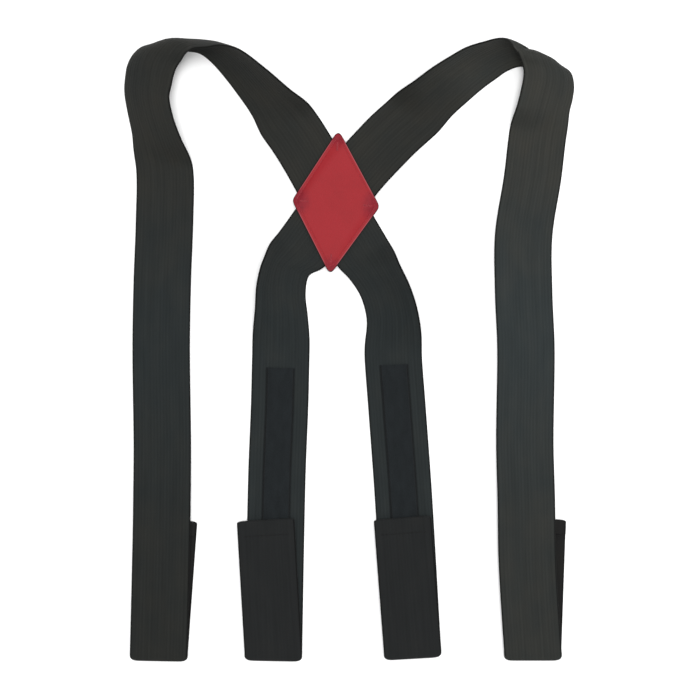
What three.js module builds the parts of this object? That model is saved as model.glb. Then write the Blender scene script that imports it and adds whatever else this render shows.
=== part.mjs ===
// Suspenders for bunker pants: two elastic straps crossing under a diamond patch at the back, with a
// hook-and-loop tab folded over at each of the four strap ends.
// The part lies spread on its inner side on a table: +Y to the shoulders, +Z up, millimetres.
import * as THREE from 'three';

// Driving sizes
const STRAP_WIDTH = 50.8;      // 2 in elastic webbing
const STRAP_THICK = 1.8;
const TAPE_WIDTH = 25.4;       // 1 in hook-and-loop tape
const TAPE_THICK = 1.2;
const GAP = 0.3;               // clearance kept between neighbouring pieces
const TAB_LENGTH = 120;
const TAB_SWING = 12;
const BARE_TIP = 20;
const FOLD_RADIUS = 2.55;      // middle of the webbing, round the fold at each strap end
const PATCH_THICK = 1.6;
const THREAD_THICK = 0.5;
const HALF = STRAP_THICK / 2;
// Height of a strap end that lies over its own tab: tab, hook tape, loop tape, then the strap
const OVER_TAB = 2 * FOLD_RADIUS + GAP;
const OVER_TAPE = TAPE_THICK + GAP + 0.1;
// Patch stack: back patch, lower strap, upper strap, front patch
const LOW_STRAP = PATCH_THICK + GAP;
const HIGH_STRAP = LOW_STRAP + STRAP_THICK + GAP;
const PATCH_FRONT = HIGH_STRAP + STRAP_THICK + GAP;

const UP = new THREE.Vector3(0, 0, 1);
const DOWN = new THREE.Vector3(0, 0, -1);

// Each station is one line straight across a strap: the edge on the arm side (x, y), the edge on the
// neck side (x, y), how far the webbing is cupped across (degrees), and its height off the table.
// Where the two edges are closer in plan than the strap is wide, the neck edge stands up off the table.
const STRAP_FROM_LEFT_SHOULDER = [
  [31, -271, 82, -268],
  [23, -133, 74, -130],
  [17, -50, 68, -47],
  [14, -9, 65, -7],
  [16, 24, 61, 31, 25],
  [11, 46, 54, 54, 40],
  [0, 63, 44, 76, 20, 1],
  [-13, 78, 34, 98, 0, LOW_STRAP],
  [-25, 98, 20, 122, 0, LOW_STRAP],
  [-46, 141, -5, 168, 0, LOW_STRAP],
  [-68, 178, -28, 206, 0, LOW_STRAP],
  [-85, 206, -51, 226, 25],
  [-100, 228, -72, 243, 40],
  [-115, 247, -95, 259, 55],
  [-125, 257, -111, 262, 70],
  [-133, 262, -122, 260, 80],
  [-146, 264, -134, 259, 85],
  [-166, 269, -141, 256, 85],
  [-181, 268, -146, 251, 80],
  [-190, 261, -150, 246, 65],
  [-195, 252, -153, 238, 50],
  [-197, 243, -154, 232, 35],
  [-198, 228, -156, 220, 25],
  [-195, 209, -153, 204, 20],
  [-191, 188, -146, 184, 10],
  [-188, 160, -137, 158],
  [-188, 115, -137, 115, 0, OVER_TAPE],
  [-190, 60, -139, 60, 0, OVER_TAPE],
  [-191, 0, -140, 0, 0, OVER_TAPE],
  [-190, -80, -139, -80, 0, OVER_TAPE],
  [-190, -135, -139, -135, 0, OVER_TAB],
  [-191, -190, -140, -190, 0, OVER_TAB],
  [-193, -271, -142, -272, 0, OVER_TAB],
];
const STRAP_FROM_RIGHT_SHOULDER = [
  [-41, -272, -92, -271],
  [-38, -115, -89, -114],
  [-36, -50, -86, -49],
  [-35, -9, -85, -7],
  [-36, 29, -82, 35, 25],
  [-38, 49, -80, 58, 40],
  [-35, 65, -74, 79, 50, 1],
  [-19, 76, -61, 104, 0, HIGH_STRAP],
  [-5, 97, -44, 126, 0, HIGH_STRAP],
  [26, 138, -17, 166, 0, HIGH_STRAP],
  [54, 169, 16, 202, 0, HIGH_STRAP],
  [70, 185, 34, 218, 0, 0.5],
  [90, 205, 55, 233, 20],
  [105, 219, 72, 245, 30],
  [119, 231, 87, 254, 40],
  [130, 239, 102, 262, 50],
  [140, 246, 117, 266, 60],
  [152, 250, 130, 269, 70],
  [163, 247, 138, 268, 75],
  [175, 247, 143, 263, 70],
  [187, 250, 147, 258, 60],
  [196, 245, 151, 251, 45],
  [199, 234, 153, 242, 35],
  [198, 222, 151, 229, 20],
  [195, 209, 147, 213, 10],
  [192, 187, 142, 192],
  [189, 150, 136, 154],
  [180, 100, 129, 102, 0, OVER_TAPE],
  [180, 50, 129, 50, 0, OVER_TAPE],
  [182, 0, 131, 0, 0, OVER_TAPE],
  [181, -80, 130, -80, 0, OVER_TAPE],
  [182, -135, 131, -135, 0, OVER_TAB],
  [183, -190, 132, -189, 0, OVER_TAB],
  [188, -271, 137, -271, 0, OVER_TAB],
];

// One station placed in space: middle of the webbing, direction across, and the cup.
function place([armX, armY, neckX, neckY, cup = 0, lift = 0]) {
  const bend = THREE.MathUtils.degToRad(cup);
  const chord = cup ? STRAP_WIDTH * Math.sin(bend / 2) / (bend / 2) : STRAP_WIDTH;
  const plan = Math.hypot(neckX - armX, neckY - armY);
  const rise = plan < 0.95 * chord ? Math.sqrt(chord * chord - plan * plan) : 0;
  const z = HALF + lift;
  return {
    arm: new THREE.Vector3(armX, armY, z),
    neck: new THREE.Vector3(neckX, neckY, z + rise),
    bend,
  };
}

// Smooth path through the stations; `at` is the distance along the middle of the strap. The height
// levels off wherever a neighbour is at the same height, so a strap never dips below what it lies on.
function smooth(values, at, i, f) {
  const slope = (k) => {
    const a = Math.max(k - 1, 0);
    const b = Math.min(k + 1, values.length - 1);
    const s = values[b].clone().sub(values[a]).divideScalar(at[b] - at[a]);
    if ((values[k].z - values[a].z) * (values[b].z - values[k].z) <= 0) s.z = 0;
    return s;
  };
  const span = at[i + 1] - at[i];
  const f2 = f * f;
  const f3 = f2 * f;
  return new THREE.Vector3()
    .addScaledVector(values[i], 2 * f3 - 3 * f2 + 1)
    .addScaledVector(slope(i), (f3 - 2 * f2 + f) * span)
    .addScaledVector(values[i + 1], 3 * f2 - 2 * f3)
    .addScaledVector(slope(i + 1), (f3 - f2) * span);
}

// Rows across a strap, from end to end. `hand` is +1 or -1 so that `out` is the outer face on both straps.
function layStrap(stations, hand, steps = 4) {
  const placed = stations.map(place);
  const middles = placed.map((p) => p.arm.clone().add(p.neck).multiplyScalar(0.5));
  const at = [0];
  for (let i = 1; i < middles.length; i += 1) at.push(at[i - 1] + middles[i].distanceTo(middles[i - 1]));
  const arms = placed.map((p) => p.arm);
  const necks = placed.map((p) => p.neck);
  const rows = [];
  for (let i = 0; i < placed.length - 1; i += 1) {
    for (let k = 0; k < steps; k += 1) {
      const f = k / steps;
      rows.push(row(smooth(arms, at, i, f), smooth(necks, at, i, f),
        THREE.MathUtils.lerp(placed[i].bend, placed[i + 1].bend, f)));
    }
  }
  const last = placed.length - 1;
  rows.push(row(arms[last], necks[last], placed[last].bend));
  rows.forEach((r, i) => {
    const before = rows[Math.max(i - 1, 0)];
    const after = rows[Math.min(i + 1, rows.length - 1)];
    const along = after.middle.clone().sub(before.middle).normalize();
    r.out = r.across.clone().cross(along).multiplyScalar(hand).normalize();
    r.along = r.out.clone().cross(r.across).multiplyScalar(hand).normalize();
  });
  return rows;
}

function row(arm, neck, bend) {
  return {
    middle: arm.clone().add(neck).multiplyScalar(0.5),
    across: neck.clone().sub(arm).normalize(),
    bend,
  };
}

// The same row turned about the line across the strap and moved.
function turned(r, angle, shift) {
  const axis = r.axis;
  return {
    middle: shift,
    across: r.across.clone(),
    out: r.out.clone().applyAxisAngle(axis, angle),
    along: r.along.clone().applyAxisAngle(axis, angle),
    bend: 0,
  };
}

// Quarter turns round the fold at a strap end, from angle a to angle b; `end` is the last row with
// `along` pointing out of the strap, `side` the way the tab goes (up or down).
function roundFold(end, side, a, b, steps = 5) {
  const axis = end.along.clone().cross(side).normalize();
  const rows = [];
  for (let i = 0; i <= steps; i += 1) {
    const angle = THREE.MathUtils.lerp(a, b, i / steps);
    const middle = end.middle.clone()
      .addScaledVector(end.along, FOLD_RADIUS * Math.sin(angle))
      .addScaledVector(side, FOLD_RADIUS * (1 - Math.cos(angle)));
    rows.push(turned({ ...end, axis }, angle, middle));
  }
  return rows;
}

// Tab rows: second quarter of the fold, then back over the strap, swinging a little askew over the
// first few millimetres. No hook tape is sewn to the bare tip.
function layTab(end, side, askew) {
  const rows = roundFold(end, side, Math.PI / 2, Math.PI);
  rows.forEach((r) => r.middle.addScaledVector(side, GAP));
  const start = rows[rows.length - 1];
  const angle = THREE.MathUtils.degToRad(askew);
  const swing = Array(3).fill(TAB_SWING / 3);
  const straight = Array(4).fill((TAB_LENGTH - TAB_SWING - BARE_TIP) / 4);
  let middle = start.middle;
  let reach = 0;
  for (const step of [...swing, ...straight, BARE_TIP]) {
    reach += step;
    const turn = angle * Math.min(reach / TAB_SWING, 1);
    const along = start.along.clone().applyAxisAngle(UP, turn);
    middle = middle.clone().addScaledVector(along, step);
    rows.push({
      middle,
      across: start.across.clone().applyAxisAngle(UP, turn),
      out: start.out,
      along,
      bend: 0,
    });
  }
  return rows;
}

// A point on a row: `v` mm across from the middle, `h` mm out of the outer face side.
function onRow(r, v, h) {
  if (r.bend < 0.001) {
    return r.middle.clone().addScaledVector(r.across, v).addScaledVector(r.out, h);
  }
  const radius = STRAP_WIDTH / r.bend;
  const angle = v / radius;
  return r.middle.clone()
    .addScaledVector(r.across, (radius - h) * Math.sin(angle))
    .addScaledVector(r.out, radius * Math.cos(r.bend / 2) - (radius - h) * Math.cos(angle));
}

// Closed strip of webbing or tape through the rows: `width` wide, between heights `low` and `high`.
function strip(rows, width, low, high, columns) {
  const ring = [];
  for (let j = 0; j <= columns; j += 1) ring.push([width * (j / columns - 0.5), high]);
  for (let j = columns; j >= 0; j -= 1) ring.push([width * (j / columns - 0.5), low]);
  const points = rows.flatMap((r) => ring.map(([v, h]) => onRow(r, v, h)));
  const n = ring.length;
  const faces = [];
  for (let i = 0; i < rows.length - 1; i += 1) {
    for (let j = 0; j < n; j += 1) {
      const a = i * n + j;
      const b = i * n + (j + 1) % n;
      faces.push(a, b, a + n, b, b + n, a + n);
    }
  }
  const last = (rows.length - 1) * n;
  for (let j = 0; j < columns; j += 1) {
    const k = n - 1 - j;
    faces.push(j, k, j + 1, k, k - 1, j + 1);
    faces.push(last + j, last + j + 1, last + k, last + k, last + j + 1, last + k - 1);
  }
  return solid(points, faces);
}

// Closed body from points and triangles, turned to face outwards.
function solid(points, faces) {
  let volume = 0;
  for (let i = 0; i < faces.length; i += 3) {
    const [a, b, c] = [points[faces[i]], points[faces[i + 1]], points[faces[i + 2]]];
    volume += a.dot(b.clone().cross(c));
  }
  if (volume < 0) faces.reverse();
  const geometry = new THREE.BufferGeometry();
  geometry.setAttribute('position', new THREE.Float32BufferAttribute(points.flatMap((p) => p.toArray()), 3));
  geometry.setIndex(faces);
  geometry.computeVertexNormals();
  return geometry;
}

const suspenders = new THREE.Group();
suspenders.name = 'suspenders';

function add(name, geometry, color, roughness, metalness = 0) {
  const mesh = new THREE.Mesh(geometry, new THREE.MeshStandardMaterial({ color, roughness, metalness }));
  mesh.name = name;
  suspenders.add(mesh);
}

const WEBBING = 0x2f3232;
const TAB_WEBBING = 0x2a2b2a;
const LOOP = 0x26292d;
const HOOK = 0x1e2022;
const PATCH = 0xb0313a;
const THREAD = 0x7c1f27;
const BLACK_THREAD = 0x1b1c1c;

// Part of a strap's rows that lies between two distances from the row at `from`.
function stretch(rows, from, near, far) {
  const picked = [];
  let run = 0;
  const step = Math.sign(far);
  for (let i = from; rows[i]; i += step) {
    if (i !== from) run += rows[i].middle.distanceTo(rows[i - step].middle);
    if (run >= near && run <= Math.abs(far)) picked.push(rows[i]);
  }
  return picked;
}

// One strap end: the quarter fold that finishes the strap, and the tab with its hook tape and hem.
function strapEnd(label, end, side, askew) {
  const rows = layTab(end, side, askew);
  add(`${label}_tab`, strip(rows, STRAP_WIDTH, -HALF, HALF, 2), TAB_WEBBING, 0.85);
  const flat = rows.slice(8, -1);
  add(`${label}_hook_tape`, strip(flat, TAPE_WIDTH, HALF + GAP, HALF + GAP + TAPE_THICK, 1), HOOK, 0.9);
  const tip = rows[rows.length - 1];
  const hem = [12, 9].map((back) => ({ ...tip, middle: tip.middle.clone().addScaledVector(tip.along, -back) }));
  // The stitching shows on top of the back tabs, and between tab and strap on the front ones
  const low = side === UP ? -HALF - GAP - THREAD_THICK : HALF + GAP;
  add(`${label}_hem_stitching`, strip(hem, 40, low, low + THREAD_THICK, 1), BLACK_THREAD, 0.8);
  return roundFold(end, side, 0, Math.PI / 2);
}


// A whole strap: the back section from the waist up to the shoulder, the front section down to the
// front waist, and the loop tape sewn along the outer face at each end.
function strap(stations, hand, shoulder, backLabel, frontLabel, askew) {
  const rows = layStrap(stations, hand);
  const first = { ...rows[0], along: rows[0].along.clone().negate() };
  const last = rows[rows.length - 1];
  const backFold = strapEnd(backLabel, first, UP, askew[0]);
  const frontFold = strapEnd(frontLabel, last, DOWN, askew[1]);
  const crest = shoulder * 4;
  const back = [...backFold.reverse().slice(0, -1), ...rows.slice(0, crest + 1)];
  const front = [...rows.slice(crest), ...frontFold.slice(1)];
  const seam = { ...front[0], middle: front[0].middle.clone().addScaledVector(front[0].along, GAP) };
  front[0] = seam;
  add(`${backLabel}_strap`, strip(back, STRAP_WIDTH, -HALF, HALF, 4), WEBBING, 0.85);
  add(`${frontLabel}_strap`, strip(front, STRAP_WIDTH, -HALF, HALF, 4), WEBBING, 0.85);
  const tape = (label, from, reach) => {
    const run = stretch(rows, from, 8, reach);
    add(`${label}_loop_tape`, strip(run, TAPE_WIDTH, HALF + GAP, HALF + GAP + TAPE_THICK, 1), LOOP, 0.95);
  };
  tape(backLabel, 0, 257);
  tape(frontLabel, rows.length - 1, -335);
}

strap(STRAP_FROM_LEFT_SHOULDER, 1, 16, 'right_back', 'left_front', [1, -3]);
strap(STRAP_FROM_RIGHT_SHOULDER, -1, 17, 'left_back', 'right_front', [4.5, -2]);

// Diamond patch: one layer behind the crossing and one in front, sewn round the edge and bar-tacked at
// the four points.
const POINTS = [[-9, 194], [27.5, 126], [-16.5, 65.5], [-50, 131.5]].map(([x, y]) => new THREE.Vector2(x, y));
const CENTRE = new THREE.Vector2(-12, 129);

function diamond(inset, round) {
  const corners = POINTS.map((p, i) => {
    const a = POINTS[(i + 3) % 4].clone().sub(p).normalize();
    const b = POINTS[(i + 1) % 4].clone().sub(p).normalize();
    const half = Math.acos(a.dot(b)) / 2;
    return p.clone().addScaledVector(a.add(b).normalize(), inset / Math.sin(half));
  });
  const shape = new THREE.Shape();
  corners.forEach((p, i) => {
    const before = corners[(i + 3) % 4].clone().sub(p).normalize();
    const after = corners[(i + 1) % 4].clone().sub(p).normalize();
    const enter = p.clone().addScaledVector(before, round);
    const leave = p.clone().addScaledVector(after, round);
    if (i === 0) shape.moveTo(enter.x, enter.y);
    else shape.lineTo(enter.x, enter.y);
    shape.quadraticCurveTo(p.x, p.y, leave.x, leave.y);
  });
  shape.closePath();
  return shape;
}

function plate(shape, base, thick) {
  const geometry = new THREE.ExtrudeGeometry(shape, { depth: thick, bevelEnabled: false, curveSegments: 4 });
  geometry.translate(0, 0, base);
  return geometry;
}

add('patch_back', plate(diamond(0, 7), 0, PATCH_THICK), PATCH, 0.7);
add('patch_front', plate(diamond(0, 7), PATCH_FRONT, PATCH_THICK), PATCH, 0.7);
// A closed band between two outlines with the same number of points.
function hoop(outer, inner, base, thick) {
  const points = [];
  const faces = [];
  const n = outer.length;
  for (let i = 0; i < n; i += 1) {
    for (const [p, z] of [[outer[i], 0], [outer[i], thick], [inner[i], thick], [inner[i], 0]]) {
      points.push(new THREE.Vector3(p.x, p.y, base + z));
    }
    for (let j = 0; j < 4; j += 1) {
      const a = 4 * i + j;
      const b = 4 * i + (j + 1) % 4;
      const c = 4 * ((i + 1) % n) + j;
      const d = 4 * ((i + 1) % n) + (j + 1) % 4;
      faces.push(a, b, c, b, d, c);
    }
  }
  return solid(points, faces);
}
const onPatch = PATCH_FRONT + PATCH_THICK + GAP;
const [seamOuter, seamInner] = [2.6, 3.4].map((inset) => diamond(inset, 5).getPoints(4).slice(0, -1));
add('patch_edge_stitching', hoop(seamOuter, seamInner, onPatch, THREAD_THICK), THREAD, 0.6);
['top', 'right', 'bottom', 'left'].forEach((side, i) => {
  const inward = CENTRE.clone().sub(POINTS[i]).normalize();
  const middle = POINTS[i].clone().addScaledVector(inward, i % 2 ? 11 : 15);
  const tack = new THREE.BoxGeometry(7, 1.8, THREAD_THICK);
  tack.rotateZ(Math.atan2(inward.y, inward.x) + Math.PI / 2);
  tack.translate(middle.x, middle.y, onPatch + THREAD_THICK / 2);
  add(`patch_${side}_bartack`, tack, THREAD, 0.6);
});

// Origin in the middle of the footprint, on the table.
const box = new THREE.Box3().setFromObject(suspenders);
const middle = box.getCenter(new THREE.Vector3());
suspenders.children.forEach((mesh) => mesh.geometry.translate(-middle.x, -middle.y, -box.min.z));

export default suspenders;
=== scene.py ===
import math

import bpy
import numpy as np
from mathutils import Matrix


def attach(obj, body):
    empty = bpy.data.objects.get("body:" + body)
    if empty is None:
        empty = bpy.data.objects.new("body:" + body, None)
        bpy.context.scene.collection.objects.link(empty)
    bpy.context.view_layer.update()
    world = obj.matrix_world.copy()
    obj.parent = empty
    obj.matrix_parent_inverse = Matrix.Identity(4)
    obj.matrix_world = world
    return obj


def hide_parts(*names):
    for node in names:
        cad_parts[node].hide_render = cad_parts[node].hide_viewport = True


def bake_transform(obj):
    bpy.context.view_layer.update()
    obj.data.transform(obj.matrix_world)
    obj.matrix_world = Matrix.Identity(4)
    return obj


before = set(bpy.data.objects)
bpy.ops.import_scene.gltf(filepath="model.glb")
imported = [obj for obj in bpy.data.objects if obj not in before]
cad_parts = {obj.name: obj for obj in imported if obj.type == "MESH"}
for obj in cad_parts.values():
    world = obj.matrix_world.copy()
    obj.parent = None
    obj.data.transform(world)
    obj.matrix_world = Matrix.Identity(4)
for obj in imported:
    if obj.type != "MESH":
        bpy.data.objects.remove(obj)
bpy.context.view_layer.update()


# ---------------------------------------------------------------------------------------------------
# The two straps. Each is one length of 2 in woven elastic, laid from a waist end at the back, over the
# crossing, round the shoulder and down to a waist end at the front. Raised ribs run over its rubber
# cores, and each edge is a flat selvedge. It is near black, browner over the shoulders and towards the
# front ends, and the front of the right strap is paler.

STRAP_WIDTH = 50.8
STRAP_THICK = 1.8
HALF = STRAP_THICK / 2
GAP = 0.3
TAPE_THICK = 1.2
PATCH_THICK = 1.6
FOLD_RADIUS = 2.55
OVER_TAB = 2 * FOLD_RADIUS + GAP
OVER_TAPE = TAPE_THICK + GAP + 0.1
LOW_STRAP = PATCH_THICK + GAP
HIGH_STRAP = LOW_STRAP + STRAP_THICK + GAP

# A station is a line straight across a strap, in millimetres: its edge on the arm side, its edge on the
# neck side, how far the webbing is cupped across (degrees), and its height off the table.
FROM_LEFT_SHOULDER = [
    (31, -271, 82, -268),
    (23, -133, 74, -130),
    (17, -50, 68, -47),
    (14, -9, 65, -7),
    (16, 24, 61, 31, 25),
    (11, 46, 54, 54, 40),
    (0, 63, 44, 76, 20, 1),
    (-13, 78, 34, 98, 0, LOW_STRAP),
    (-25, 98, 20, 122, 0, LOW_STRAP),
    (-46, 141, -5, 168, 0, LOW_STRAP),
    (-68, 178, -28, 206, 0, LOW_STRAP),
    (-85, 206, -51, 226, 25),
    (-100, 228, -72, 243, 40),
    (-115, 247, -95, 259, 55),
    (-125, 257, -111, 262, 70),
    (-133, 262, -122, 260, 80),
    (-146, 264, -134, 259, 85),
    (-166, 269, -141, 256, 85),
    (-181, 268, -146, 251, 80),
    (-190, 261, -150, 246, 65),
    (-195, 252, -153, 238, 50),
    (-197, 243, -154, 232, 35),
    (-198, 228, -156, 220, 25),
    (-195, 209, -153, 204, 20),
    (-191, 188, -146, 184, 10),
    (-188, 160, -137, 158),
    (-188, 115, -137, 115, 0, OVER_TAPE),
    (-190, 60, -139, 60, 0, OVER_TAPE),
    (-191, 0, -140, 0, 0, OVER_TAPE),
    (-190, -80, -139, -80, 0, OVER_TAPE),
    (-190, -135, -139, -135, 0, OVER_TAB),
    (-191, -190, -140, -190, 0, OVER_TAB),
    (-193, -271, -142, -272, 0, OVER_TAB),
]
FROM_RIGHT_SHOULDER = [
    (-41, -272, -92, -271),
    (-38, -115, -89, -114),
    (-36, -50, -86, -49),
    (-35, -9, -85, -7),
    (-36, 29, -82, 35, 25),
    (-38, 49, -80, 58, 40),
    (-35, 65, -74, 79, 50, 1),
    (-19, 76, -61, 104, 0, HIGH_STRAP),
    (-5, 97, -44, 126, 0, HIGH_STRAP),
    (26, 138, -17, 166, 0, HIGH_STRAP),
    (54, 169, 16, 202, 0, HIGH_STRAP),
    (70, 185, 34, 218, 0, 0.5),
    (90, 205, 55, 233, 20),
    (105, 219, 72, 245, 30),
    (119, 231, 87, 254, 40),
    (130, 239, 102, 262, 50),
    (140, 246, 117, 266, 60),
    (152, 250, 130, 269, 70),
    (163, 247, 138, 268, 75),
    (175, 247, 143, 263, 70),
    (187, 250, 147, 258, 60),
    (196, 245, 151, 251, 45),
    (199, 234, 153, 242, 35),
    (198, 222, 151, 229, 20),
    (195, 209, 147, 213, 10),
    (192, 187, 142, 192),
    (189, 150, 136, 154),
    (180, 100, 129, 102, 0, OVER_TAPE),
    (180, 50, 129, 50, 0, OVER_TAPE),
    (182, 0, 131, 0, 0, OVER_TAPE),
    (181, -80, 130, -80, 0, OVER_TAPE),
    (182, -135, 131, -135, 0, OVER_TAB),
    (183, -190, 132, -189, 0, OVER_TAB),
    (188, -271, 137, -271, 0, OVER_TAB),
]
UP = np.array([0.0, 0.0, 1.0])
ROW_STEP = 2.8
FOOTPRINT_MIDDLE = np.array([0.472, -1.356, -0.197])


def unit(vectors):
    return vectors / np.linalg.norm(vectors, axis=-1, keepdims=True)


def in_frame(points):
    """Millimetres on the spread-out suspenders to metres in the frame, centred on their footprint."""
    return (np.asarray(points, float) - FOOTPRINT_MIDDLE) / 1000


def place(arm_x, arm_y, neck_x, neck_y, cup=0, lift=0):
    """A station in space: the arm-side edge, the neck-side edge, which may stand up, and the cup."""
    bend = math.radians(cup)
    chord = STRAP_WIDTH * math.sin(bend / 2) / (bend / 2) if cup else STRAP_WIDTH
    plan = math.hypot(neck_x - arm_x, neck_y - arm_y)
    rise = math.sqrt(chord**2 - plan**2) if plan < 0.95 * chord else 0.0
    z = HALF + lift
    return np.array([arm_x, arm_y, z]), np.array([neck_x, neck_y, z + rise]), bend


def smooth(values, at, i, f):
    """A smooth path through the stations that levels off wherever its height would overshoot."""
    def slope(k):
        before, after = max(k - 1, 0), min(k + 1, len(values) - 1)
        s = (values[after] - values[before]) / (at[after] - at[before])
        if (values[k][2] - values[before][2]) * (values[after][2] - values[k][2]) <= 0:
            s[2] = 0
        return s

    span = at[i + 1] - at[i]
    return (values[i] * (2 * f**3 - 3 * f**2 + 1) + slope(i) * (f**3 - 2 * f**2 + f) * span
            + values[i + 1] * (3 * f**2 - 2 * f**3) + slope(i + 1) * (f**3 - f**2) * span)


class Rows:
    """Rows across a length of cloth: middles, directions across, outward and along, cup, and the run."""

    def __init__(self, middle, across, out, along, bend, run):
        self.middle, self.across, self.out = middle, across, out
        self.along, self.bend, self.run = along, bend, run

    def __getitem__(self, part):
        return Rows(*(values[part] for values in vars(self).values()))

    def __len__(self):
        return len(self.run)

    def then(self, other):
        return Rows(*(np.concatenate(pair) for pair in zip(vars(self).values(), vars(other).values())))

    def at(self, v, h):
        """Points v across from the middle and h out of the outer face, one for each row."""
        flat = self.bend < 0.001
        radius = STRAP_WIDTH / np.where(flat, 1.0, self.bend)
        angle = np.where(flat, 0, v / radius)
        sideways = np.where(flat, v, (radius - h) * np.sin(angle))
        outwards = np.where(flat, h, radius * np.cos(self.bend / 2) - (radius - h) * np.cos(angle))
        return self.middle + self.across * sideways[:, None] + self.out * outwards[:, None]

    def length(self):
        return abs(self.run[-1] - self.run[0])


def lay_strap(stations, hand):
    """Rows of a whole strap, and the number of the row at each station."""
    arms, necks, bends = zip(*(place(*station) for station in stations))
    middles = (np.array(arms) + np.array(necks)) / 2
    at = np.concatenate([[0], np.cumsum(np.linalg.norm(np.diff(middles, axis=0), axis=1))])
    arm, neck, bend, marks = [], [], [], []
    for i in range(len(stations) - 1):
        marks.append(len(arm))
        steps = max(4, round((at[i + 1] - at[i]) / ROW_STEP))
        for f in np.arange(steps) / steps:
            arm.append(smooth(arms, at, i, f))
            neck.append(smooth(necks, at, i, f))
            bend.append(bends[i] + (bends[i + 1] - bends[i]) * f)
    arm, neck = np.array(arm + [arms[-1]]), np.array(neck + [necks[-1]])
    middle = (arm + neck) / 2
    across = unit(neck - arm)
    along = unit(np.concatenate([middle[1:], middle[-1:]]) - np.concatenate([middle[:1], middle[:-1]]))
    out = unit(np.cross(across, along)) * hand
    along = np.cross(out, across) * hand
    run = np.concatenate([[0], np.cumsum(np.linalg.norm(np.diff(middle, axis=0), axis=1))])
    return Rows(middle, across, out, along, np.array(bend + [bends[-1]]), run), marks


class Value:
    """A socket of a finish that goes into sums and products as a number does."""

    def __init__(self, tree, socket=None):
        self.tree, self.socket = tree, socket

    def node(self, kind, settings, inputs, output=0):
        """Any node: its type, its settings, and the values or links of its sockets."""
        made = self.tree.nodes.new("ShaderNode" + kind)
        for name, setting in settings.items():
            setattr(made, name, setting)
        for key, given in inputs.items():
            if isinstance(given, Value):
                self.tree.links.new(given.socket, made.inputs[key])
            else:
                made.inputs[key].default_value = given
        return Value(self.tree, made.outputs[output])

    def math(self, operation, *values):
        return self.node("Math", {"operation": operation}, dict(enumerate(values)))

    def __add__(self, other):
        return self.math("ADD", self, other)

    def __mul__(self, other):
        return self.math("MULTIPLY", self, other)

    def __sub__(self, other):
        return self.math("SUBTRACT", self, other)

    def __rsub__(self, other):
        return self.math("SUBTRACT", other, self)

    __radd__, __rmul__ = __add__, __mul__

    def size(self):
        return self.math("ABSOLUTE", self)

    def wave(self, length):
        """A rounded ridge every `length`, from 0 to 1."""
        return 0.5 + 0.5 * self.math("COSINE", self * (2 * math.pi / length))

    def past(self, low, high):
        """0 below low, 1 above high, and smooth between."""
        return self.node("MapRange", {"interpolation_type": "SMOOTHSTEP"},
                         {"Value": self, "From Min": low, "From Max": high})

    def mix(self, at_0, at_1):
        """Of two colours, the first where this is 0 and the second where it is 1."""
        first, second = (c if isinstance(c, Value) else (*c, 1) for c in (at_0, at_1))
        return self.node("Mix", {"data_type": "RGBA"}, {0: self, 6: first, 7: second}, 2)

    def shaded(self, shade):
        """This colour, lightened or darkened."""
        return self.node("VectorMath", {"operation": "SCALE"}, {0: self, "Scale": shade})


def start_finish(name, **shader_values):
    """A new material, a value to begin its sums with, and its shader."""
    material = bpy.data.materials.new(name)
    material.use_nodes = True
    shader = material.node_tree.nodes["Principled BSDF"]
    for socket, value in shader_values.items():
        shader.inputs[socket.replace("_", " ")].default_value = value
    return material, Value(material.node_tree), shader


def end_finish(start, shader, colour, roughness, height, depth):
    """Joins a colour, a roughness and a relief, whose full depth is in millimetres, to the shader."""
    relief = start.node("Bump", {}, {"Height": height, "Strength": 1.0, "Distance": depth / 1000})
    for socket, value in (("Base Color", colour), ("Roughness", roughness), ("Normal", relief)):
        start.tree.links.new(value.socket, shader.inputs[socket])


def cloth_places(start):
    """Distances across and along a piece, in millimetres."""
    places = start.node("UVMap", {"uv_map": "cloth"}, {})
    across = start.node("SeparateXYZ", {}, {0: places}, 0) * 1000
    along = start.node("SeparateXYZ", {}, {0: places}, 1) * 1000
    return across, along


def speckle(across, along, wide, long, detail=2.0):
    """Noise from 0 to 1 in spots of that width across and length along, in millimetres."""
    spot = across.node("CombineXYZ", {}, {0: across * (1 / wide), 1: along * (1 / long)})
    return across.node("TexNoise", {}, {"Vector": spot, "Scale": 1.0, "Detail": detail})


RIB_PITCH = 2.8
RIB_HEIGHT = 0.08
SELVEDGE = 2.2
YARN = 0.7
PICK = 1.1
SHOULDER_AT = 590.0
SHOULDER_REACH = 330.0
PALE_FROM = 550.0
PALE_TO = 590.0
FRONT_END_FROM = 880.0
FRONT_END_TO = 1150.0


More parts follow.
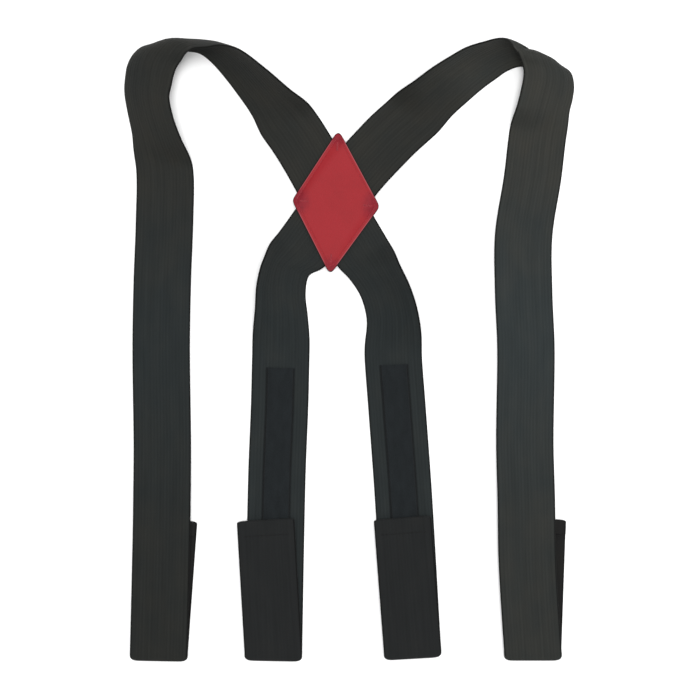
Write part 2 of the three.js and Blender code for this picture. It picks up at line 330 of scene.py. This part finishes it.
def webbing_finish(name, cool, warm, ribs, front_pale=0.0):
    """Woven elastic in two tints. ribs is how far its ribs show, front_pale how much paler it ends."""
    material, start, shader = start_finish(name, Sheen_Weight=0.03, Sheen_Roughness=0.45,
                                           Specular_IOR_Level=0.1)
    across, along = cloth_places(start)
    # painted shade: the outer 1.7 mm or so of each selvedge is darkened, as shade along the strap's edges
    painted_edge_shade = across.size().past(STRAP_WIDTH / 2 - 1.7, STRAP_WIDTH / 2 - 0.7)
    rib = across.wave(RIB_PITCH)
    yarn = across.wave(YARN)
    slant = across.math("PINGPONG", across + 100, RIB_PITCH / 2)
    pick = (along + slant * 0.6).wave(PICK)
    fuzz = speckle(across, along, 0.35, 0.5, 3.0)
    streak = speckle(across, along, 2.4, 90.0)
    cloud = speckle(across, along, 22.0, 34.0)
    shoulder = (along - SHOULDER_AT).size().past(SHOULDER_REACH, 120.0)
    front_end = along.past(FRONT_END_FROM, FRONT_END_TO)
    paler = front_pale * along.past(PALE_FROM, PALE_TO)
    cloth = (shoulder * 0.8 + front_end * 0.6 + (cloud - 0.5) * 0.9).mix(cool, warm)
    weave = yarn * 0.4 + pick * 0.6
    shade = 0.70 + weave * 0.3 + rib * (0.10 * ribs) + (fuzz - 0.5) * 0.7
    shade = shade * (0.62 + cloud * 0.3 + streak * 0.46) * (1 - painted_edge_shade * 0.75)
    shade = shade * (1 + paler) * (1 - front_end * 0.2)
    end_finish(start, shader, cloth.shaded(shade), 0.88 - weave * 0.1 + (fuzz - 0.5) * 0.2,
               weave * 0.55 + fuzz * 0.45 + rib * (0.4 * ribs), 0.22)
    return material


def cloth_outline(width, thick, ribs=False):
    """Outline across a cloth, from edge to edge, as (across, upper face, lower face)."""
    edge = width / 2 - thick / 2
    v = np.linspace(-edge, edge, (4 * round(2 * edge / RIB_PITCH) if ribs else 24) + 1)
    h = np.full(len(v), thick / 2)
    if ribs:
        worn = np.clip((edge - np.abs(v)) / SELVEDGE, 0, 1)
        h = h - RIB_HEIGHT * (1 - worn * (0.5 + 0.5 * np.cos(2 * math.pi * v / RIB_PITCH)))
    corner = np.radians([18, 54])
    v = np.concatenate([-edge - thick / 2 * np.cos(corner), v, edge + thick / 2 * np.cos(corner[::-1])])
    h = np.concatenate([h[0] * np.sin(corner), h, h[-1] * np.sin(corner[::-1])])
    return v, h, -h


def loft(name, rings, material, places):
    """A mesh of closed bodies, each through its own rings: (body, ring, point, xyz) in millimetres.
    places are distances across and along for every point, in millimetres, kept as its map."""
    bodies, count, ring = rings.shape[:3]
    i, j = np.meshgrid(np.arange(count - 1) * ring, np.arange(ring), indexing="ij")
    sides = np.stack([i + j, i + (j + 1) % ring, i + ring + (j + 1) % ring, i + ring + j], -1)
    k = np.arange(ring // 2 - 1)
    first_cap = np.stack([k + 1, k, ring - 1 - k, ring - 2 - k], -1)
    last_cap = first_cap[:, ::-1] + (count - 1) * ring
    faces = np.concatenate([sides.reshape(-1, 4), first_cap, last_cap])
    faces = (faces + np.arange(bodies)[:, None, None] * count * ring).reshape(-1, 4)
    points = rings.reshape(-1, 3)
    a, b, c, d = (points[faces[:, k]] for k in range(4))
    volume = np.einsum("ij,ij", a, np.cross(b, c)) + np.einsum("ij,ij", a, np.cross(c, d))
    if volume < 0:
        faces = faces[:, ::-1]
    mesh = bpy.data.meshes.new(name)
    mesh.from_pydata(in_frame(points).tolist(), [], faces.tolist())
    mesh.shade_smooth()
    mesh.set_sharp_from_angle(angle=math.radians(60))
    corners = np.zeros(len(mesh.loops), np.int32)
    mesh.loops.foreach_get("vertex_index", corners)
    chart = places.reshape(-1, 2)[corners] / 1000
    mesh.uv_layers.new(name="cloth").data.foreach_set("uv", chart.ravel())
    mesh.materials.append(material)
    made = bpy.data.objects.new(name, mesh)
    bpy.context.scene.collection.objects.link(made)
    return made


def cloth_strip(name, rows, outline, material, out=0.0, tuck=None):
    """A closed strip of cloth through the rows. tuck draws its corners in, by a vector for each row."""
    half_v, over, under = outline
    v, h = np.concatenate([half_v, half_v[::-1]]), np.concatenate([over, under[::-1]])
    rings = np.stack([rows.at(one_v, out + one_h) for one_v, one_h in zip(v, h)], 1)
    if tuck is not None:
        rings = rings + tuck[:, None] * (np.abs(2 * v / STRAP_WIDTH)**12)[None, :, None]
    places = np.stack(np.broadcast_arrays(v, rows.run[:, None]), -1)
    return loft(name, rings[None], material, places)


def part_of(piece, flat=None, body=None, stands_for=()):
    """Hangs a piece on the body it rides on and hides the nodes it stands for; flat, its size in mm, is
    not used.
    """
    if body:
        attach(piece, body)
    if stands_for:
        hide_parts(*stands_for)
    if flat:
        [side / 1000 for side in flat]
    return piece


left_strap, left_marks = lay_strap(FROM_LEFT_SHOULDER, 1)
right_strap, right_marks = lay_strap(FROM_RIGHT_SHOULDER, -1)
STRAP_COOL = (0.0150, 0.0185, 0.0190)
STRAP_WARM = (0.0190, 0.0188, 0.0162)
left_cloth = webbing_finish("left_elastic_webbing", STRAP_COOL, STRAP_WARM, 1.0)
right_cloth = webbing_finish("right_elastic_webbing", STRAP_COOL, STRAP_WARM, 1.0, front_pale=0.45)
webbing_outline = cloth_outline(STRAP_WIDTH, STRAP_THICK, ribs=True)
END_ROWS = 5


def sewn_strap(rows, marks, cloth, back_name, front_name, shoulder):
    """Back section, shoulder and front section of one strap, all but the rows of its waist folds.
    shoulder gives its first and last station."""
    first, last = marks[shoulder[0]], marks[shoulder[1]]
    pieces = []
    for name, part in ((f"{back_name}_webbing", rows[END_ROWS:first + 1]),
                       (f"{front_name}_shoulder_webbing", rows[first:last + 1]),
                       (f"{front_name}_webbing", rows[last:-END_ROWS])):
        piece = cloth_strip(name, part, webbing_outline, cloth)
        part_of(piece, flat=(STRAP_WIDTH, part.length()))
        pieces.append(piece)
    back, bend, front = pieces
    part_of(back, body="back", stands_for=[f"{back_name}_strap"])
    part_of(front, body=f"{front_name}_strap", stands_for=[f"{front_name}_strap"])
    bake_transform(bend)


sewn_strap(left_strap, left_marks, left_cloth, "right_back", "left_front", (12, 22))
sewn_strap(right_strap, right_marks, right_cloth, "left_back", "right_front", (12, 24))


# ---------------------------------------------------------------------------------------------------
# Waist ends. Each strap end turns back on itself in a soft fold and lies against the strap as a tab,
# 120 mm long and a little askew, with its tip turned under 11 mm for a hem. The tabs are the same
# elastic, worn smoother.

FOLD_STEPS = 8
HEM_RADIUS = 0.95
HEM_DEPTH = 11.0
TAB_SWING = 12.0
TAB_STEPS = [2.0] * 6 + [3.0] * 36
FOLD_TAB_ROWS = 6
TIP_ROWS = 6
CORNER_TUCK = 3.0
TAB_ASKEW = {"right_back": 1.0, "left_front": -3.0, "left_back": 4.5, "right_front": -2.0}
TAB_COOL = (0.0115, 0.0125, 0.0128)
TAB_WARM = (0.0130, 0.0122, 0.0112)
tab_cloth = webbing_finish("tab_webbing", TAB_COOL, TAB_WARM, 0.3)
tabs = {}


def turned(vectors, axis, angle):
    c, s = math.cos(angle), math.sin(angle)
    return vectors * c + np.cross(axis, vectors) * s + axis * (vectors @ axis.T) * (1 - c)


def round_fold(end, side, radius, angles, sense):
    """Rows round a fold that begins at the row `end` and turns towards `side`."""
    axis = unit(np.cross(end.along, side))
    made = end[:0]
    for angle in angles:
        middle = (end.middle + end.along * radius * math.sin(angle)
                  + side * radius * (1 - math.cos(angle)))
        made = made.then(Rows(middle, end.across, turned(end.out, axis, angle),
                              turned(end.along, axis, angle), end.bend * 0,
                              end.run + sense * radius * angle))
    return made


def run_on(rows, steps, sense, askew=0.0):
    """More rows beyond the last one, straight on, swinging round flat by askew over TAB_SWING."""
    start, last, reach = rows[-1:], rows[-1:], 0.0
    for step in steps:
        reach += step
        angle = math.radians(askew) * min(reach / TAB_SWING, 1)
        along, across = turned(start.along, UP[None], angle), turned(start.across, UP[None], angle)
        last = Rows(last.middle + along * step, across, start.out, along, start.bend,
                    last.run + sense * step)
        rows = rows.then(last)
    return rows


def waist_end(label, strap, at_back, fold_cloth):
    """The fold at one strap end and the tab beyond it: upwards at the back, downwards at the front."""
    side, sense = (UP, -1) if at_back else (-UP, 1)
    leg = strap[END_ROWS::-1] if at_back else strap[-1 - END_ROWS:]
    end = leg[-1:]
    if at_back:
        end.along = -end.along
    half_turn = np.linspace(0, math.pi, 2 * FOLD_STEPS + 1)
    fold = round_fold(end, side, FOLD_RADIUS, half_turn, sense)
    fold.middle = fold.middle + side * GAP * np.clip(np.linspace(-1, 1, len(fold)), 0, 1)[:, None]
    tab = run_on(fold[-1:], TAB_STEPS, sense, TAB_ASKEW[label])
    hem = round_fold(tab[-1:], -side, HEM_RADIUS, half_turn[::2], sense)
    hem = run_on(hem, [HEM_DEPTH / 4] * 4, sense)
    bend_rows = leg.then(fold[1:]).then(tab[1:FOLD_TAB_ROWS + 1])
    loose_rows = tab[FOLD_TAB_ROWS:].then(hem[1:])
    drawn = np.concatenate([np.linspace(0, 1, len(leg)), np.ones(len(fold) - 1),
                            np.linspace(1, 0, FOLD_TAB_ROWS + 1)[1:]])
    tip = np.concatenate([np.zeros(len(tab) - FOLD_TAB_ROWS - TIP_ROWS), np.linspace(0, 1, TIP_ROWS),
                          np.linspace(1, 0, len(hem))[1:]])
    bend = cloth_strip(f"{label}_fold_webbing", bend_rows, webbing_outline, fold_cloth,
                       tuck=-end.along * CORNER_TUCK * (drawn**2)[:, None])
    loose = cloth_strip(f"{label}_tab_webbing", loose_rows, webbing_outline, tab_cloth,
                        tuck=-tab.along[-1:] * CORNER_TUCK * (tip**2)[:, None])
    part_of(bend, flat=(STRAP_WIDTH, bend_rows.length()))
    part_of(loose, flat=(STRAP_WIDTH, loose_rows.length()),
            body=f"{label}_tab", stands_for=[f"{label}_tab"])
    in_frame(end.middle[0] + side * HALF)
    in_frame(tab.middle[0] - side * HALF)
    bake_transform(bend)
    tabs[label] = tab


waist_end("right_back", left_strap, True, tab_cloth)
waist_end("left_front", left_strap, False, left_cloth)
waist_end("left_back", right_strap, True, tab_cloth)
waist_end("right_front", right_strap, False, right_cloth)


# ---------------------------------------------------------------------------------------------------
# Loop tape, 1 in wide, sewn down the middle of the outer face of each strap from just above its end:
# a woven tape with a soft pile between two flat borders. A lockstitch runs round it on the border.

TAPE_WIDTH = 25.4
TAPE_START = 8.0
BACK_LOOP_END = 257.0
FRONT_LOOP_END = 335.0
BORDER = 1.6
BORDER_THICK = 0.45
ON_STRAP = HALF + 0.04
TAPE_COLOUR = (0.0110, 0.0135, 0.0150)
TAPE_BORDER = (0.0090, 0.0110, 0.0120)


def loop_finish():
    material, start, shader = start_finish("loop_pile", Sheen_Weight=0.03, Sheen_Roughness=0.6,
                                           Specular_IOR_Level=0.08)
    across, along = cloth_places(start)
    border = across.size().past(TAPE_WIDTH / 2 - BORDER - 0.2, TAPE_WIDTH / 2 - BORDER + 0.2)
    pile = speckle(across, along, 0.8, 0.8, 4.0)
    brushed = speckle(across, along, 6.0, 16.0, 3.0)
    woven = across.wave(0.6) * 0.5 + along.wave(0.9) * 0.5
    height = pile * (1 - border) + woven * border * 0.5
    shade = 0.35 + pile * 0.9 + (brushed - 0.5) * 0.5
    colour = border.mix(TAPE_COLOUR, TAPE_BORDER)
    end_finish(start, shader, colour.shaded(shade), 0.95 - pile * 0.1, height, 0.5)
    return material


def tape_outline(width, border, border_thick, thick):
    """Outline of a tape with a raised middle, its lower face flat, as (across, upper, lower)."""
    edge, slope = width / 2, 0.35
    middle = np.linspace(-edge + border + slope, edge - border - slope, 19)
    v = np.concatenate([[-edge, -edge + 0.15, -edge + border], middle,
                        [edge - border, edge - 0.15, edge]])
    over = np.concatenate([[border_thick / 2, border_thick, border_thick], np.full(19, thick),
                           [border_thick, border_thick, border_thick / 2]])
    return v, over, np.zeros(len(v))


def thread_finish(name, colour, sheen):
    material, start, shader = start_finish(name, Sheen_Weight=sheen, Sheen_Roughness=0.3,
                                           Specular_IOR_Level=0.2)
    around, along = cloth_places(start)
    twist = (along + around * 0.25).wave(0.55)
    plain = start.node("RGB", {}, {})
    plain.socket.default_value = (*colour, 1)
    shade = 0.65 + twist * 0.45 + (speckle(around, along, 1.0, 2.0) - 0.5) * 0.4
    end_finish(start, shader, plain.shaded(shade), 0.6 - twist * 0.15, twist, 0.08)
    return material


def stitches(name, lines, material, stitch=3.0, gap=0.5, thick=0.55):
    """Stitches along lines, each a list of points and the way each point faces, in millimetres."""
    t = np.linspace(0, 1, 5)
    around = np.radians([30, 90, 150, 210, 270, 330])
    bodies, places = [], []
    for points, facing in lines:
        step = np.linalg.norm(np.diff(points, axis=0), axis=1)
        at = np.concatenate([[0], np.cumsum(step)])
        number = max(1, int((at[-1] + gap) / (stitch + gap)))
        pitch = (at[-1] + gap) / number
        spots = (np.arange(number)[:, None] * pitch + t * (pitch - gap)).clip(0, at[-1])
        centre = np.stack([np.interp(spots, at, points[:, k]) for k in range(3)], -1)
        up = unit(np.stack([np.interp(spots, at, facing[:, k]) for k in range(3)], -1))
        ahead = unit(centre[:, -1:] - centre[:, :1]) * np.ones((1, 5, 1))
        beside = unit(np.cross(ahead, up))
        bow = np.sin(math.pi * t)
        centre = centre + up * (0.3 * thick * bow - 0.25 * thick)[:, None]
        radius = thick / 2 * (0.6 + 0.4 * bow)[:, None, None]
        bodies.append(centre[:, :, None] + radius * (beside[:, :, None] * np.cos(around)[:, None]
                                                     + up[:, :, None] * np.sin(around)[:, None]))
        places.append(np.stack(np.broadcast_arrays(np.degrees(around) / 60, spots[:, :, None]), -1))
    return loft(name, np.concatenate(bodies), material, np.concatenate(places))


def stitch_box(rows, v, h):
    """A line of stitches down each side of a tape and one across each end."""
    lines = [(rows.at(side, h), rows.out) for side in (-v, v)]
    for end in (rows[:1], rows[-1:]):
        ends = end[np.zeros(9, int)]
        lines.append((ends.at(np.linspace(-v, v, 9), h), ends.out))
    return lines


loop_cloth = loop_finish()
loop_outline = tape_outline(TAPE_WIDTH, BORDER, BORDER_THICK, TAPE_THICK)
black_thread = thread_finish("black_thread", (0.0040, 0.0042, 0.0044), 0.0)
for label, strap, at_back, end, body in (
        ("right_back", left_strap, True, BACK_LOOP_END, "back"),
        ("left_back", right_strap, True, BACK_LOOP_END, "back"),
        ("left_front", left_strap, False, FRONT_LOOP_END, "left_front_strap"),
        ("right_front", right_strap, False, FRONT_LOOP_END, "right_front_strap")):
    from_end = strap.run if at_back else strap.run[-1] - strap.run
    rows = strap[(from_end >= TAPE_START) & (from_end <= end)]
    tape = cloth_strip(f"{label}_loop_pile", rows, loop_outline, loop_cloth, out=ON_STRAP)
    sewing = stitches(f"{label}_loop_sewing", stitch_box(rows[1:-1], TAPE_WIDTH / 2 - BORDER / 2,
                                                         ON_STRAP + BORDER_THICK), black_thread)
    part_of(sewing, body=body)
    part_of(tape, flat=(TAPE_WIDTH, rows.length()), body=body,
            stands_for=[f"{label}_loop_tape"])


# ---------------------------------------------------------------------------------------------------
# Hook tape, 1 in wide, sewn to the side of each tab that meets the loop tape: a stiff woven tape
# covered with rows of small hooks.

HOOK_START = 12.0
HOOK_END = 100.0
HOOK_PITCH = 1.3
HOOK_COLOUR = (0.020, 0.021, 0.022)


def hook_finish():
    material, start, shader = start_finish("hook_tape", Specular_IOR_Level=0.5)
    across, along = cloth_places(start)
    border = across.size().past(TAPE_WIDTH / 2 - BORDER - 0.2, TAPE_WIDTH / 2 - BORDER + 0.2)
    hooks = across.wave(HOOK_PITCH) * along.wave(HOOK_PITCH) * (1 - border)
    bare = start.node("RGB", {}, {})
    bare.socket.default_value = (*HOOK_COLOUR, 1)
    shade = 0.5 + hooks * 1.1 + (speckle(across, along, 3.0, 3.0) - 0.5) * 0.4
    end_finish(start, shader, bare.shaded(shade), 0.55 - hooks * 0.2, hooks, 0.7)
    return material


hook_cloth = hook_finish()
hook_outline = tape_outline(TAPE_WIDTH, BORDER, BORDER_THICK, 0.9 * TAPE_THICK)
for label, tab in tabs.items():
    from_fold = np.abs(tab.run - tab.run[0])
    rows = tab[(from_fold >= HOOK_START) & (from_fold <= HOOK_END)]
    tape = cloth_strip(f"{label}_hooks", rows, hook_outline, hook_cloth, out=ON_STRAP)
    sewing = stitches(f"{label}_hook_sewing", stitch_box(rows[1:-1], TAPE_WIDTH / 2 - BORDER / 2,
                                                         ON_STRAP + BORDER_THICK), black_thread)
    part_of(sewing, body=f"{label}_tab")
    part_of(tape, flat=(TAPE_WIDTH, rows.length()), body=f"{label}_tab",
            stands_for=[f"{label}_hook_tape"])


# ---------------------------------------------------------------------------------------------------
# Hem stitching: one short lockstitch line in black thread across the tip of each tab, through the
# turned-under end. On the front tabs it is seen on the side that faces the strap.

HEM_LINE = 10.5
HEM_WIDTH = 40.0
for label, tab in tabs.items():
    tip = np.argmin(np.abs(np.abs(tab.run - tab.run[-1]) - HEM_LINE))
    row = tab[np.full(21, tip)]
    back_tab = label.endswith("back")
    h = -HALF - 0.05 if back_tab else 2 * HEM_RADIUS + HALF + 0.05
    line = (row.at(np.linspace(-HEM_WIDTH / 2, HEM_WIDTH / 2, 21), h), row.out * (-1 if back_tab else 1))
    sewing = stitches(f"{label}_hem_sewing", [line], black_thread, thick=0.7)
    part_of(sewing, body=f"{label}_tab", stands_for=[f"{label}_hem_stitching"])


# ---------------------------------------------------------------------------------------------------
# Patch: two diamonds of red leather, one under the crossing and one over it. The upper one lies over
# both straps and is let down to the lower one at its four corners, beside the webbing. Its cut edge is
# painted dark as a shadow, a pale line just inside it along the sides is a painted highlight, and its
# corners are darker where it is pinched.

PATCH_POINTS = np.array([(-9, 194), (27.5, 126), (-16.5, 65.5), (-50, 131.5)])
PATCH_CORNERS = [7.0, 4.0, 7.0, 4.0]
PATCH_HALF_WIDTH = 32.0
SEAM_INSET = 3.0
SAG = 0.010
SETTLING = 1500
LEATHER_RED = (0.240, 0.0090, 0.0135)
LEATHER_CRIMSON = (0.150, 0.0040, 0.0120)
# painted highlight: the colour of the pale line just inside the cut edge
LEATHER_PAINTED_HIGHLIGHT = (0.300, 0.100, 0.115)
# painted shadow: the colour of the dark outline at the cut edge
LEATHER_PAINTED_SHADOW = (0.030, 0.003, 0.005)


def diamond(inset, side_steps=36, corner_steps=6):
    """Points round the patch, inset from its cut edge, with the tips rounded off."""
    roundings = [corner * (1 - inset / PATCH_HALF_WIDTH) for corner in PATCH_CORNERS]
    tips, points = [], []
    for i, tip in enumerate(PATCH_POINTS):
        a, b = unit(PATCH_POINTS[i - 1] - tip), unit(PATCH_POINTS[(i + 1) % 4] - tip)
        tips.append(tip + unit(a + b) * inset / math.sin(math.acos(a @ b) / 2))
    for i, tip in enumerate(tips):
        following = tips[(i + 1) % 4]
        enter = tip + unit(tips[i - 1] - tip) * roundings[i]
        leave = tip + unit(following - tip) * roundings[i]
        arrive = following + unit(tip - following) * roundings[(i + 1) % 4]
        for f in np.arange(corner_steps) / corner_steps:
            points.append(enter * (1 - f)**2 + tip * 2 * f * (1 - f) + leave * f**2)
        for f in np.arange(side_steps) / side_steps:
            points.append(leave * (1 - f) + arrive * f)
    return np.array(points)


def drape_over_straps():
    """Height of the upper leather on a 1 mm grid: it sags, but stays above what lies under it."""
    low, high = diamond(0).min(0) - 4, diamond(0).max(0) + 4
    x, y = np.arange(low[0], high[0]), np.arange(low[1], high[1])
    grid = np.stack(np.meshgrid(x, y, indexing="ij"), -1)
    under = np.full(grid.shape[:2], PATCH_THICK)
    for strap, first, last in ((left_strap, left_marks[6], left_marks[11]),
                               (right_strap, right_marks[6], right_marks[11])):
        near = strap[first:last]
        away = np.linalg.norm(grid[:, :, None] - near.middle[None, None, :, :2], axis=-1)
        row = away.argmin(-1)
        off = np.einsum("xyk,xyk->xy", grid - near.middle[row][..., :2], near.across[row][..., :2])
        top = near.middle[row][..., 2] + HALF
        under = np.maximum(under, np.where(np.abs(off) <= STRAP_WIDTH / 2 + 0.6, top, 0))
    under = under + GAP
    height = np.full(under.shape, under.max())
    for _ in range(SETTLING):
        padded = np.pad(height, 1, mode="edge")
        beside = (padded[2:, 1:-1] + padded[:-2, 1:-1] + padded[1:-1, 2:] + padded[1:-1, :-2]) / 4
        height = np.maximum(under, beside - SAG)
    return x, y, height


def on_grid(x, y, height, points):
    """Heights at points, between those of the grid."""
    i = np.clip(points[..., 0] - x[0], 0, len(x) - 2)
    j = np.clip(points[..., 1] - y[0], 0, len(y) - 2)
    a, b = i.astype(int), j.astype(int)
    f, g = i - a, j - b
    return (height[a, b] * (1 - f) * (1 - g) + height[a + 1, b] * f * (1 - g)
            + height[a, b + 1] * (1 - f) * g + height[a + 1, b + 1] * f * g)


def leather_finish():
    material, start, shader = start_finish("red_leather", Specular_IOR_Level=0.18)
    inset, corner = cloth_places(start)
    spot = start.node("TexCoord", {}, {}, 3)
    grain = start.node("TexVoronoi", {"feature": "DISTANCE_TO_EDGE"}, {"Vector": spot, "Scale": 900.0})
    pores = start.node("TexNoise", {}, {"Vector": spot, "Scale": 2600.0, "Detail": 2.0})
    cloud = start.node("TexNoise", {}, {"Vector": spot, "Scale": 60.0, "Detail": 3.0})
    crease = start.node("TexNoise", {}, {"Vector": spot, "Scale": 330.0, "Detail": 4.0})
    pinched = 1 - corner.past(8.0, 20.0)
    # painted highlight: a pale line just inside the cut edge, along the sides away from the corners
    painted_edge_highlight = inset.past(0.3, 0.5) * (1 - inset.past(0.7, 1.1)) * corner.past(9.0, 14.0)
    # painted shadow: the cut edge itself is darkened to a dark outline
    cut = 1 - inset.past(0.15, 0.5)
    shade = 0.93 + (cloud - 0.5) * 0.25 + grain * 0.25 + pinched * (crease - 0.5) * 0.7
    colour = (pinched * 0.8 + (cloud - 0.5) * 0.4).mix(LEATHER_RED, LEATHER_CRIMSON)
    colour = (painted_edge_highlight * 0.6).mix(cut.mix(colour, LEATHER_PAINTED_SHADOW), LEATHER_PAINTED_HIGHLIGHT)
    height = grain * 0.8 + pores * 0.2 + pinched * crease * 0.8
    end_finish(start, shader, colour.shaded(shade), 0.52 + pores * 0.2, height, 0.16)
    return material


def leather_diamond(name, under, material):
    """One diamond of leather, its lower face at the heights `under` gives."""
    insets = np.array([0.0, 0.12, 0.35, 0.7, 1.1, 1.8, 2.5, 2.8, 3.0, 3.2, 3.6, 4.6, 6.5, 9, 12, 16, 20,
                       24, 28])
    rounded = 0.4 * (1 - np.clip(insets / 0.9, 0, 1))**2
    seam = 0.25 * np.exp(-((insets - SEAM_INSET) / 0.4)**2)
    flat = np.array([diamond(inset) for inset in insets])
    base = under(flat)
    lower = np.dstack([flat, base + rounded[:, None]])
    upper = np.dstack([flat, base + PATCH_THICK - (rounded + seam)[:, None]])
    rings = np.concatenate([lower[::-1], upper])
    to_corner = np.linalg.norm(rings[:, :, None, :2] - PATCH_POINTS, axis=-1).min(-1)
    inset = np.concatenate([insets[::-1], insets])[:, None]
    return loft(name, rings[None], material, np.stack(np.broadcast_arrays(inset, to_corner), -1))


leather = leather_finish()
drape = drape_over_straps()
patch_height, patch_width = (PATCH_POINTS[i] - PATCH_POINTS[i + 2] for i in (0, 1))
for name, node, under in (("patch_under_leather", "patch_back", lambda points: points[..., 0] * 0),
                          ("patch_top_leather", "patch_front", lambda points: on_grid(*drape, points))):
    diamond_piece = leather_diamond(name, under, leather)
    part_of(diamond_piece, body="back", stands_for=[node])


# ---------------------------------------------------------------------------------------------------
# Patch sewing: a lockstitch in red thread 3 mm inside the cut edge, and at each corner a bartack, a
# short dense bar of thread that pins the two leathers together.

BARTACK_LENGTH = 7.0
BARTACK_WIDTH = 1.8
BARTACK_THREADS = 16
red_thread = thread_finish("red_thread", (0.300, 0.028, 0.038), 0.1)


def on_patch(points, over=0.0):
    """Points on top of the upper leather."""
    return np.dstack([points[None], on_grid(*drape, points)[None] + PATCH_THICK + over])[0]


seam = diamond(SEAM_INSET)
seam = on_patch(np.concatenate([seam, seam[:1]]), -0.15)
patch_sewing = stitches("patch_edge_sewing", [(seam, np.tile(UP, (len(seam), 1)))], red_thread,
                        stitch=2.6, gap=0.6, thick=0.6)
part_of(patch_sewing, body="back", stands_for=["patch_edge_stitching"])
for corner, (name, inward) in enumerate(
        (("top", 15.0), ("right", 11.0), ("bottom", 15.0), ("left", 11.0))):
    tip = PATCH_POINTS[corner]
    into = unit(PATCH_POINTS[(corner + 2) % 4] - tip)
    sideways = np.array([-into[1], into[0]])
    lines = []
    for f in np.linspace(-0.5, 0.5, BARTACK_THREADS):
        middle = tip + into * (inward + f * BARTACK_LENGTH)
        cross = np.array([middle + sideways * g * BARTACK_WIDTH for g in (-0.5, 0, 0.5)])
        lines.append((on_patch(cross), np.tile(UP, (3, 1))))
    bartack = stitches(f"patch_{name}_bartack_thread", lines, red_thread, stitch=BARTACK_WIDTH, gap=0.1,
                       thick=0.5)
    part_of(bartack, body="back", stands_for=[f"patch_{name}_bartack"])


# ---------------------------------------------------------------------------------------------------
# Studio: a white table, soft light from all round and from overhead, a large lamp to the right, and a
# camera straight above.

TABLE_HALF = 3.0
table = [(TABLE_HALF * x, TABLE_HALF * y, 0) for x, y in ((-1, -1), (1, -1), (1, 1), (-1, 1))]
table_mesh = bpy.data.meshes.new("table_top")
table_mesh.from_pydata(table, [], [(0, 1, 2, 3)])
table_top = bpy.data.objects.new("table_top", table_mesh)
bpy.context.scene.collection.objects.link(table_top)
white = start_finish("white_table", Base_Color=(0.9, 0.9, 0.9, 1), Roughness=0.9)[0]
table_mesh.materials.append(white)

world = bpy.data.worlds.new("studio")
world.use_nodes = True
world.node_tree.nodes["Background"].inputs["Color"].default_value = (1, 1, 1, 1)
world.node_tree.nodes["Background"].inputs["Strength"].default_value = 0.75
bpy.context.scene.world = world
overhead = bpy.data.lights.new("overhead", "SUN")
overhead.energy, overhead.angle = 2.2, math.radians(25)
bpy.context.scene.collection.objects.link(bpy.data.objects.new("overhead", overhead))
lamp = bpy.data.lights.new("side_lamp", "AREA")
lamp.size, lamp.energy = 1.5, 12
side_lamp = bpy.data.objects.new("side_lamp", lamp)
side_lamp.location = (1.2, 0.6, 1.5)
side_lamp.rotation_euler = (-side_lamp.location).to_track_quat("-Z", "Y").to_euler()
bpy.context.scene.collection.objects.link(side_lamp)

CAMERA_HEIGHT = 1.8
VIEW_WIDTH = 0.6188
lens = bpy.data.cameras.new("camera")
lens.sensor_width = 36
lens.lens = 36 * CAMERA_HEIGHT / VIEW_WIDTH
camera = bpy.data.objects.new("camera", lens)
camera.location = (0.0007, 0.0010, CAMERA_HEIGHT)
bpy.context.scene.collection.objects.link(camera)
bpy.context.scene.camera = camera
bpy.context.scene.view_settings.view_transform = "Standard"
